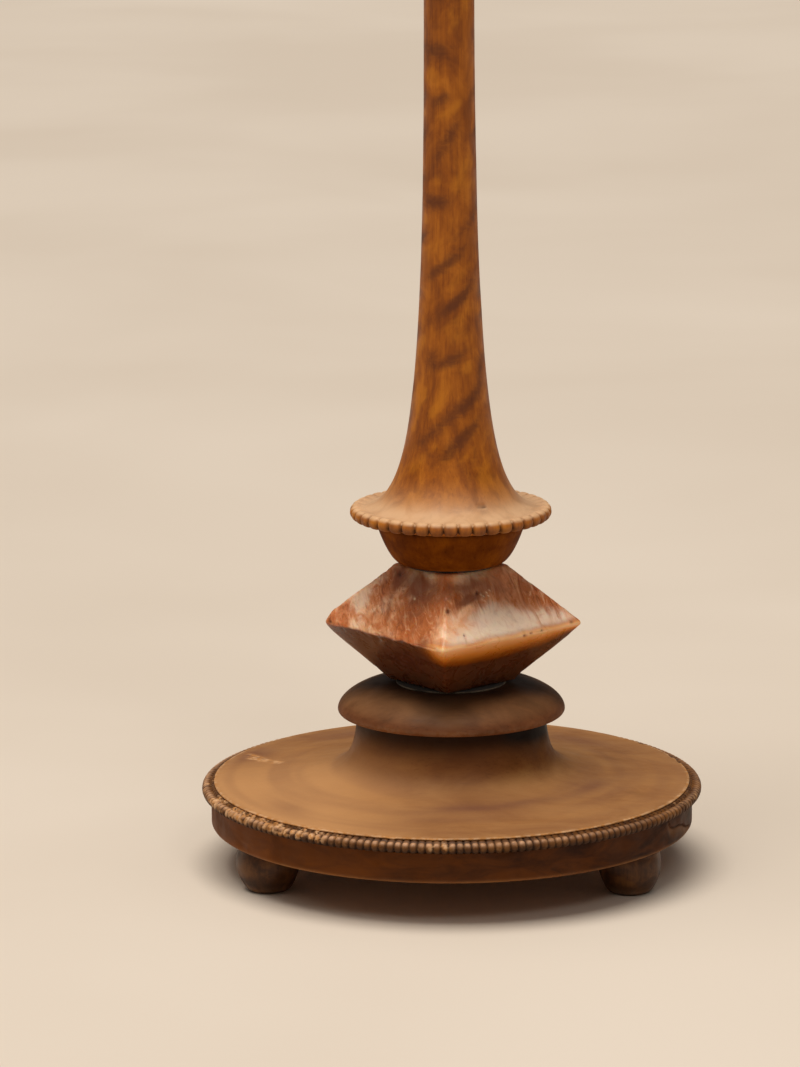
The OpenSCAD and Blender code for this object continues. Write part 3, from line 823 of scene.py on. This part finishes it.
def stone_piece():
    segments, rows = 376, 120
    quarter = np.linspace(-1, 1, segments // 4, endpoint=False)
    warped = np.sign(quarter) * (1 - (1 - np.abs(quarter)) ** 1.35)
    around = np.concatenate([(warped + 1) / 2 * 90 + 90 * k for k in range(4)])
    azimuth = np.radians(around + STONE_TURN)
    steep = math.atan2(STONE_HALF_H, ROD_HOLE_R)
    t = np.linspace(-1, 1, rows)
    latitude = -np.sign(t) * steep * np.abs(t) ** 1.5
    lat, azi = np.meshgrid(latitude, azimuth, indexing="ij")
    way = np.stack([np.cos(lat) * np.cos(azi), np.cos(lat) * np.sin(azi), np.sin(lat)], -1)
    planes = [(np.array(n), d) for n, d in stone_planes()]
    # Blunted corners and a worn arris, as a direction and a distance
    cuts = [
        ((-1.0, -0.02, 0.06), 46.4), ((0.999, -0.06, -0.05), 47.0), ((0.03, 0.999, 0.1), 46.8),
        ((-0.72, 0.66, 0.1), 33.9),
    ]
    for direction, distance in cuts:
        n = np.array(direction) / np.linalg.norm(direction)
        planes.append((n, distance))
    ends = [(np.array([0, 0, 1.0]), STONE_HALF_H), (np.array([0, 0, -1.0]), STONE_HALF_H)]
    softness = 0.42

    def level(p):
        """Above 0 outside the stone; its arrises are rounded by a soft maximum."""
        values = np.stack([p @ n - d for n, d in planes + ends])
        top = values.max(axis=0)
        weights = np.exp((values - top) / softness)
        return top + softness * np.log(weights.sum(axis=0)), weights

    near_r, far_r = np.full(lat.shape, 5.0), np.full(lat.shape, 60.0)
    for _ in range(34):
        mid = (near_r + far_r) / 2
        outside = level(way * mid[..., None])[0] > 0
        near_r, far_r = np.where(outside, near_r, mid), np.where(outside, mid, far_r)
    rings = way * near_r[..., None]
    weights = level(rings)[1]
    edge = np.clip(1 - weights.max(axis=0) / weights.sum(axis=0), 0, 0.5) * 2
    hidden = smooth(np.abs(rings[..., 2]), STONE_HALF_H - 1.5, STONE_HALF_H - 0.4)
    undulate = (cloud(rings, 14, 121, 2) - 0.5) * 0.55 + (cloud(rings, 3.5, 131, 2) - 0.5) * 0.16
    chips = smooth(cloud(rings, 3.0, 141, 2), 0.52, 0.78) * edge
    left_arris = smooth(-rings[..., 0], -2, 8) * near(rings[..., 2], 0, 3.5) * (rings[..., 1] < 0)
    ragged = (cloud(rings, 4.5, 147, 4) - 0.45) * 2.6
    inset = 0.32 - undulate + chips * (0.5 + 0.5 * left_arris)
    inset = inset + left_arris * smooth(ragged, -0.2, 0.9) * 0.9
    pits = np.zeros(lat.shape)
    for px, pz, size in STONE_PITS:
        spot = np.exp(-(((rings[..., 0] - px) ** 2 + (rings[..., 2] - pz) ** 2) / size**2))
        pits = np.maximum(pits, spot * (rings[..., 1] < 0))
    inset = (inset + 0.4 * pits) * (1 - hidden)
    rings = rings - way * inset[..., None]
    rings[..., 2] = np.clip(rings[..., 2], -STONE_HALF_H, STONE_HALF_H)
    rings[0, :, 2], rings[-1, :, 2] = STONE_HALF_H, -STONE_HALF_H
    for row in (0, -1):
        rings[row, :, :2] *= ROD_HOLE_R / np.hypot(rings[row, :, 0], rings[row, :, 1])[:, None]
    x, z = rings[..., 0], rings[..., 2]
    front = smooth(-rings[..., 1], -6, 3)
    random = np.random.default_rng(352)
    back_marks = {
        key: [
            (random.uniform(-40, 40), random.uniform(-18, 18), random.uniform(6, 13),
             random.uniform(3, 6), random.uniform(20, 80), random.uniform(0.5, 1.0))
            for _ in range(count)
        ]
        for key, count in (("rust", 9), ("pale", 7), ("dusk", 4), ("amber", 3), ("grey", 3))
    }
    fields = {}
    for key, marks in STONE_MARKS.items():
        seen = sum(patch(x, z, mark) for mark in marks)
        behind = sum(patch(x, z, mark) for mark in back_marks[key])
        fields[key] = np.clip(seen * front + behind * (1 - front), 0, 1.2)
    # Painted glow of light through the thin front edge, on the lower faces just below the equator,
    # added to the amber marks.
    glow_floor = np.interp(x, [-14, -6, 4, 17, 31, 38, 47], [-2.0, -8, -10, -9.5, -7.5, -5.5, -1.2])
    uneven = (cloud(rings, 9, 145) - 0.5) * 1.6
    depth = np.clip((z + uneven - glow_floor) / (0.2 - glow_floor), 0, 1)
    glow = smooth(-z + uneven, -2.8, 0.4) * smooth(x, -15, -3) * smooth(depth, 0, 0.12) * front
    fields["glow"] = np.clip(fields["amber"] + glow, 0, 1)
    fields["amber"] = np.clip(fields["amber"] + depth * glow, 0, 1)
    # Painted shade on the lower faces, with a ragged edge along the left arris.
    waver = (cloud(rings, 6, 149, 3) - 0.5) * 2.2 * left_arris
    fields["lower_face_shade"] = smooth(-z + waver, 0.0, 0.9) * (0.75 + 0.25 * front)
    fields["pit"] = np.clip(pits * 0.9, 0, 1)
    glints = np.zeros(lat.shape)
    for px, pz, size in STONE_GLINTS:
        glints += np.exp(-(((x - px) ** 2 + (z - pz) ** 2) / size**2)) * front
    fields["glint"] = np.clip(glints, 0, 1)
    rings[..., 2] += (STONE_TOP_Z + STONE_Z) / 2
    return build("stone_double_pyramid", rings, True, fields)


place(stone_piece(), "stone_block", "pink_stone")


def shape_bowl(r, z, a, points):
    noise = cloud(points, 14, 151)
    outer = smooth(r, 15, 18)
    # Painted shade at the top of the bowl, under the flange.
    return r - outer * 0.12 * noise, z, {"cuts_and_shade": near(z, FLANGE_Z, 1.2) * outer * 0.6}


bowl_curve = [
    (18 + (BOWL_TOP_R - 18) * u**0.55, BOWL_Z + (FLANGE_Z - BOWL_Z) * u)
    for u in np.linspace(0, 1, 40) ** 2
]
bowl_corners = [
    (ROD_HOLE_R, BOWL_Z),
    *bowl_curve,
    (BOSS_R, FLANGE_Z), (BOSS_R, BOSS_TOP_Z, 0.4), (ROD_HOLE_R, BOSS_TOP_Z),
]
place(turned("turned_bowl", bowl_corners, 288, 1.0, shape=shape_bowl), "bowl", "bowl_wood")


# Shaft, drip pan and socket

SHAFT_TOP_Z = PAN_Z
SWEEP_START_Z = FLANGE_Z + 5.5
FLANGE_BEADS = 42
FLANGE_BEAD_R = 2.4
FLANGE_BEAD_AT = (FLANGE_R - FLANGE_BEAD_R, FLANGE_Z + 3.8)


def shaft_r(z):
    return (
        8.6
        + 10.5 * math.exp(-(z - 137.5) / 46)
        + 3.4 * math.exp(-(z - 137.5) / 8.4)
        + 3.0 * math.exp(-(z - SWEEP_START_Z) / 1.2)
        + 4.4 * math.exp((z - SHAFT_TOP_Z) / 14)
    )


def carve(r, z, a, points, count, centre, bead_r, seed):
    """Cuts a ring into rounded blocks with narrow V cuts. Returns r, z, painted shade in the cuts,
    stronger on their lower part, and where the ring's outer face is.
    """
    phase = a * count / (2 * math.pi) + 0.1 * (cloud(points * [1, 1, 0], 12, seed) - 0.5)
    across = np.abs((phase % 1) * 2 - 1)
    away = np.hypot(r - centre[0], z - centre[1])
    ring = smooth(away, bead_r + 0.5, bead_r + 0.1)
    outward = smooth(r, centre[0] - 1.9, centre[0] - 0.3)
    below = smooth(centre[1] + 2.3 - z, 0, 1.3)
    depth = (1.1 * across**10 + 0.95 * across**3.5) * ring * outward * (0.72 + 0.28 * below)
    scale = np.where(ring > 0, 1 - depth / np.maximum(away, 0.4), 1)
    new_r = centre[0] + (r - centre[0]) * scale
    new_z = centre[1] + (z - centre[1]) * scale
    return new_r, new_z, across**6 * ring * outward * (0.6 + 0.4 * below), ring * outward


# Dark marks of the shaft's figure: azimuth, height, half length, half width, tilt and strength
FIGURE = [
    (-30, 304, 4, 1.6, 20, 0.55), (-30, 295.5, 6, 3.4, 5, 1),
    (-22, 278, 5.5, 2.6, 30, 0.95), (2, 266.5, 8, 2.4, 52, 0.75),
    (-20, 258.5, 5, 2.4, 50, 0.6), (-32, 242, 6.5, 2.8, 4, 1.2),
    (28, 232, 6.5, 2, 42, 0.6), (2, 221.5, 8.5, 2.4, 40, 0.85),
    (-34, 217, 5, 2.2, 40, 0.6), (34, 211, 7, 2.2, 48, 0.7),
    (8, 206.5, 6.5, 2.2, 32, 0.75), (-18, 201.5, 8, 1.8, 38, 0.45),
    (2, 186.5, 8, 2.5, 28, 1), (-36, 186, 5.5, 3, 60, 0.6),
    (56, 182, 4.5, 2.4, 70, 0.8), (38, 173, 7.5, 2.6, 40, 0.75),
    (6, 168, 9.5, 2.6, 36, 0.75), (-34, 158.5, 8.5, 2.6, 34, 0.75),
    (10, 158, 8, 2.6, 38, 0.85), (-4, 152.5, 7, 2.2, 30, 0.5),
    (36, 163, 7, 2.2, 42, 0.55),
]
draw = np.random.default_rng(93).uniform
for height in np.arange(150, 366, 7.2):
    for turn in (105, 180, 255):
        middle = (turn + draw(-28, 28), height + draw(-3.5, 3.5))
        FIGURE.append((*middle, draw(4.5, 9), draw(1.8, 3.0), draw(15, 55), draw(0.4, 1.0)))
for height in np.arange(316, 368, 9.5):
    FIGURE.append(
        (draw(-40, 40), height, draw(4.5, 8), draw(1.8, 2.8), draw(15, 50), draw(0.5, 1.0))
    )


def shape_shaft(r, z, a, points):
    centre = FLANGE_BEAD_AT
    noise = cloud(points, 12, 161)
    outer = smooth(r, 7.5, 8.5) * smooth(z, FLANGE_Z + 5, FLANGE_Z + 9)
    new_r, new_z, cuts_and_shade, ring = carve(r, z, a, points, FLANGE_BEADS, centre, FLANGE_BEAD_R, 171)
    new_r = new_r - outer * 0.16 * (noise - 0.3)
    azimuth = from_front(points[..., 0], points[..., 1])
    figure = np.zeros_like(r)
    for mark in FIGURE:
        u = np.radians((azimuth - mark[0] + 180) % 360 - 180) * r
        close = (np.abs(z[:, 0] - mark[1]) < 26) & (r[:, 0] > 7.5)
        if close.any():
            figure[close] += patch(u[close], z[close], (0.0, *mark[1:]))
    figure *= smooth(z, FLANGE_Z + 12, FLANGE_Z + 24)
    x, y = points[..., 0], points[..., 1]
    nick = stroke(x, y, (9.2, -21.6), (12.0, -20.6), 0.45) * near(z, FLANGE_Z + 9.6, 0.6)
    new_z = new_z - 0.45 * nick
    lip = near(np.hypot(r - centre[0] - 0.9, z - centre[1] - 1.8), 0, 1.0)
    dip = near(r, centre[0] - 2.3, 0.7) * smooth(z, FLANGE_Z + 4, FLANGE_Z + 5)
    dip = dip * smooth(cloud(points, 7, 173), 0.2, 0.6)
    new_z = new_z - 0.25 * dip
    # Painted shade on the ring's lower half and where the flange meets the bowl.
    under = 0.5 * smooth(centre[1] - z, -0.6, 1.6) * ring
    under = under + 0.4 * near(z, FLANGE_Z, 0.8) * smooth(r, 20, 24)
    # A painted highlight along the lip and the ring; the dip is darkened as well.
    fields = {
        "figure": np.clip(figure, 0, 1.1),
        "cuts_and_shade": np.clip(cuts_and_shade + 0.75 * nick + 0.22 * dip + under, 0, 1),
        "crest": np.clip((0.05 * ring + 0.8 * lip) * (1 - cuts_and_shade), 0, 1) * (0.4 + 0.6 * noise),
    }
    return new_r, new_z, fields


sweep_end = SHAFT_TOP_Z - 6.4
shaft_corners = [
    (0, ROD_TOP_Z + 4), (ROD_HOLE_R, ROD_TOP_Z + 4), (ROD_HOLE_R, INSERT_TOP_Z),
    (INSERT_R + FIT_GAP, INSERT_TOP_Z), (INSERT_R + FIT_GAP, INSERT_Z),
    (BOSS_R + FIT_GAP, INSERT_Z), (BOSS_R + FIT_GAP, FLANGE_Z), (BOWL_TOP_R, FLANGE_Z),
    *arc(FLANGE_BEAD_AT, FLANGE_BEAD_R, -125, 115, 26),
    *[
        (shaft_r(z), z)
        for z in SWEEP_START_Z + (sweep_end - SWEEP_START_Z) * np.linspace(0, 1, 96) ** 1.8
    ],
    *arc((13.4, SHAFT_TOP_Z - 4.4), 2, -60, 60, 10),
    (13.4, SHAFT_TOP_Z), (SPIGOT_R, SHAFT_TOP_Z),
    (SPIGOT_R, SPIGOT_TOP_Z, 0.5), (0, SPIGOT_TOP_Z),
]
place(
    turned(
        "flared_shaft", shaft_corners, FLANGE_BEADS * 12, lambda p: 2.2 if p[0] > 7.4 else 12,
        closed=False, shape=shape_shaft,
    ),
    "shaft", "shaft_wood",
)

PAN_BEADS = 36
PAN_BEAD_R = 2.1
PAN_BEAD_AT = (PAN_R - PAN_BEAD_R, PAN_Z + 7.4)


def shape_pan(r, z, a, points):
    noise = cloud(points, 12, 181)
    new_r, new_z, cuts_and_shade, ring = carve(r, z, a, points, PAN_BEADS, PAN_BEAD_AT, PAN_BEAD_R, 191)
    dish = smooth(PAN_R - 3.5 - r, 0, 2) * smooth(z, PAN_Z + 3, PAN_Z + 5)
    # Painted shade in the bead cuts and a painted highlight on the bead ring; the pan is darker
    # overall, more in its dish.
    fields = {
        "cuts_and_shade": cuts_and_shade,
        "crest": ring * (1 - cuts_and_shade) * 0.3 * noise,
        "figure": 0.35 * noise,
        "shade_and_grime": 0.1 + 0.3 * dish * (0.4 + noise),
    }
    return new_r, new_z, fields


pan_corners = [
    (SPIGOT_R + FIT_GAP, PAN_Z), (14, PAN_Z, 0.4), (PAN_R - 9, PAN_Z + 3, 4),
    *arc(PAN_BEAD_AT, PAN_BEAD_R, -110, 110, 20),
    (PAN_R - 4.6, SOCKET_Z + 1.8, 1), (PAN_R - 8.5, SOCKET_Z, 2), (SPIGOT_R + FIT_GAP, SOCKET_Z),
]
place(
    turned("beaded_drip_pan", pan_corners, PAN_BEADS * 12, 1.2, shape=shape_pan),
    "drip_pan", "shaft_wood",
)


def shape_socket(r, z, a, points):
    noise = cloud(points, 10, 201)
    rings = near(z, SOCKET_Z + 3.2, 0.5) + near(z, SOCKET_TOP_Z - 4.6, 0.5)
    outer = smooth(r, 13.5, 14.5)
    wear = near(z, SOCKET_TOP_Z - 1.0, 1.2) * outer * 0.2 * noise
    fields = {"cuts_and_shade": np.clip(rings, 0, 1) * outer * 0.5, "wear": wear}
    return r - outer * 0.1 * noise, z, fields


socket_ring = (15.8, SOCKET_Z + 1.5)
socket_lip = (SOCKET_R - 2.2, SOCKET_TOP_Z - 2.2)
socket_corners = [
    (0, SPIGOT_TOP_Z + 0.5), (SPIGOT_R + FIT_GAP, SPIGOT_TOP_Z + 0.5),
    (SPIGOT_R + FIT_GAP, SOCKET_Z),
    *arc(socket_ring, 1.5, -90, 90, 10),
    *[
        (15.0 + 1.2 * u * u, SOCKET_Z + 3 + (socket_lip[1] - 2.2 - SOCKET_Z - 3) * u)
        for u in np.linspace(0.07, 1, 20)
    ],
    *arc(socket_lip, 2.2, -60, 90, 14),
    (CUP_BODY_R + 0.1, SOCKET_TOP_Z, 0.3), (CUP_BODY_R + 0.1, CUP_Z - 0.5), (0, CUP_Z - 0.5),
]
place(
    turned("turned_candle_socket", socket_corners, 256, 1.5, closed=False, shape=shape_socket),
    "candle_socket", "collar_wood",
)


# Brass cup and insert, steel rod, washer and nut


def shape_cup(r, z, a, points):
    dent = (cloud(points, 9, 211, 2) - 0.5) * 0.12 * smooth(r, 12.6, 15)
    return r - 0.05 - np.abs(dent), z, {}


cup_corners = [
    (0, CUP_Z), (CUP_BODY_R, CUP_Z, 0.8), (CUP_BODY_R, SOCKET_TOP_Z, 0.25),
    (CUP_R, SOCKET_TOP_Z, 0.35), (CUP_R, CUP_TOP_Z, 0.5), (CUP_BORE_R, CUP_TOP_Z, 0.5),
    (CUP_BORE_R, CUP_Z + CUP_WALL, 0.6), (0, CUP_Z + CUP_WALL),
]
place(
    turned("brass_candle_cup", cup_corners, 192, 1.0, closed=False, shape=shape_cup),
    "candle_cup", "brass", body="cup",
)

insert_corners = [
    (ROD_R + FIT_GAP, INSERT_Z, 0.3), (INSERT_R, INSERT_Z, 0.4),
    (INSERT_R, INSERT_TOP_Z, 0.4), (ROD_R + FIT_GAP, INSERT_TOP_Z, 0.3),
]


def thread(z, a, pitch):
    """How far down a thread's flank each point is: 0 on its crest, 1 at its root."""
    return np.abs((z / pitch - a / (2 * math.pi)) % 1 * 2 - 1)


def shape_insert(r, z, a, points):
    return r - thread(z, a, 1.6) * 0.5 * smooth(r, INSERT_R - 0.2, INSERT_R), z, {}


place(turned("threaded_insert", insert_corners, 96, 0.25, shape=shape_insert), "shaft_insert", "brass")


def shape_rod(r, z, a, points):
    threaded = np.maximum(smooth(z, ROD_Z + 13, ROD_Z + 12), smooth(z, ROD_TOP_Z - 24, ROD_TOP_Z - 23))
    return r - thread(z, a, 1.25) * 0.6 * threaded * smooth(r, ROD_R - 0.9, ROD_R - 0.2), z, {}


rod_corners = [(0, ROD_Z), (ROD_R, ROD_Z, 0.7), (ROD_R, ROD_TOP_Z, 0.7), (0, ROD_TOP_Z)]
place(
    turned(
        "threaded_tie_rod", rod_corners, 48, lambda p: 1.0 if p[0] < ROD_R - 0.8 else 0.2,
        closed=False, shape=shape_rod,
    ),
    "tie_rod", "steel",
)

washer_corners = [
    (ROD_R + 0.2, WASHER_Z, 0.2), (WASHER_R, WASHER_Z, 0.35),
    (WASHER_R, RECESS_TOP_Z, 0.2), (ROD_R + 0.2, RECESS_TOP_Z, 0.2),
]
place(turned("steel_washer", washer_corners, 144, 0.8), "base_washer", "steel")


NUT_FLAT_R = 13 / 2
NUT_CORNER_R = NUT_FLAT_R / math.cos(math.pi / 6)


def shape_nut(r, z, a, points):
    bore = ROD_R + FIT_GAP
    sector = (a + math.pi / 6) % (math.pi / 3) - math.pi / 6
    hexagon = NUT_FLAT_R / np.cos(sector)
    chamfer = NUT_FLAT_R - 0.1 + np.minimum(z - NUT_Z, WASHER_Z - z) * 1.73
    limit = np.minimum(hexagon, chamfer)
    spread = bore + (limit - bore) * (r - bore) / (NUT_CORNER_R - bore)
    return np.where(r > ROD_R + 1.0, spread, r), z, {}


nut_corners = [
    (ROD_R + FIT_GAP, NUT_Z, 0.3), (NUT_CORNER_R, NUT_Z),
    (NUT_CORNER_R, WASHER_Z), (ROD_R + FIT_GAP, WASHER_Z, 0.3),
]
place(turned("hexagon_nut", nut_corners, 240, 0.3, shape=shape_nut), "base_nut", "steel")


# Stage, lights and camera


def stage_material():
    s = Shader("pale_floor")
    mottling = s.noise(420, 3, 0.5, 0.3)
    colour = s.ramp(s.band(mottling, 0.3, 0.7), [(0, "dcd0c2"), (1, "e3d8cb")])
    return s.finish(colour, 0.75, Specular_IOR_Level=0.25)


FLOOR_HALF = 14.0
floor_mesh = bpy.data.meshes.new("floor")
corners = [(x * FLOOR_HALF, y * FLOOR_HALF, 0) for x, y in ((-1, -1), (1, -1), (1, 1), (-1, 1))]
floor_mesh.from_pydata(corners, [], [(0, 1, 2, 3)])
floor = link("floor", floor_mesh)
floor_mesh.materials.append(stage_material())


def light(name, kind, power, colour):
    lamp = link(name, bpy.data.lights.new(name, kind))
    lamp.data.energy, lamp.data.color = power, colour
    return lamp


def area_light(name, location, aim, width, power, colour):
    lamp = light(name, "AREA", power, colour)
    lamp.data.shape, lamp.data.size = "DISK", width
    lamp.location = location
    way = np.array(aim, float) - np.array(location, float)
    pitch, turn = math.atan2(math.hypot(way[0], way[1]), -way[2]), math.atan2(way[1], way[0])
    lamp.rotation_euler = (pitch, 0, turn - math.pi / 2)


sun = light("overhead", "SUN", 2.55, (1.0, 0.93, 0.84))
sun.data.angle = math.radians(42)
sun.rotation_euler = (math.radians(5), math.radians(-5), 0)
area_light("left", (-0.7, -0.5, 1.1), (0, 0, 0.12), 0.7, 1.8, (1.0, 0.92, 0.82))
area_light("front_top", (0.5, -1.3, 1.4), (0, 0, 0.12), 0.5, 3.2, (1.0, 0.94, 0.88))

world = bpy.data.worlds.new("soft_studio")
bpy.context.scene.world = world
world.use_nodes = True
nodes, wire = world.node_tree.nodes, world.node_tree.links.new
fill = nodes["Background"]
fill.inputs[0].default_value = (0.86, 0.8, 0.73, 1)
fill.inputs[1].default_value = 0.17
# Past the floor's edge a low view shows a pale backdrop, which lights nothing
backdrop = nodes.new("ShaderNodeBackground")
backdrop.inputs[0].default_value = rgb("d8c8b4")
chooser = nodes.new("ShaderNodeMixShader")
wire(nodes.new("ShaderNodeLightPath").outputs["Is Camera Ray"], chooser.inputs[0])
wire(fill.outputs[0], chooser.inputs[1])
wire(backdrop.outputs[0], chooser.inputs[2])
wire(chooser.outputs[0], nodes["World Output"].inputs[0])

# The camera was fitted to the rings in the photo. The focal length is in pixels of its frame.
FRAME_LONG, FOCAL = 1067, 5440
PITCH, TURN, ROLL = (math.radians(angle) for angle in (11.95, 0.547, -0.3))
camera_data = bpy.data.cameras.new("camera")
camera_data.sensor_width = 36
camera_data.lens = camera_data.sensor_width * FOCAL / FRAME_LONG
camera_data.clip_start, camera_data.clip_end = 0.1, 60
camera = link("camera", camera_data)
camera.location = (0, -1.9, 0.5237)
tilt = Euler((math.radians(90) - PITCH, 0, TURN), "XYZ").to_matrix()
roll = Euler((0, 0, ROLL), "XYZ").to_matrix()
camera.rotation_euler = (tilt @ roll).to_euler("XYZ")
bpy.context.scene.camera = camera
bpy.context.scene.view_settings.view_transform = "Standard"
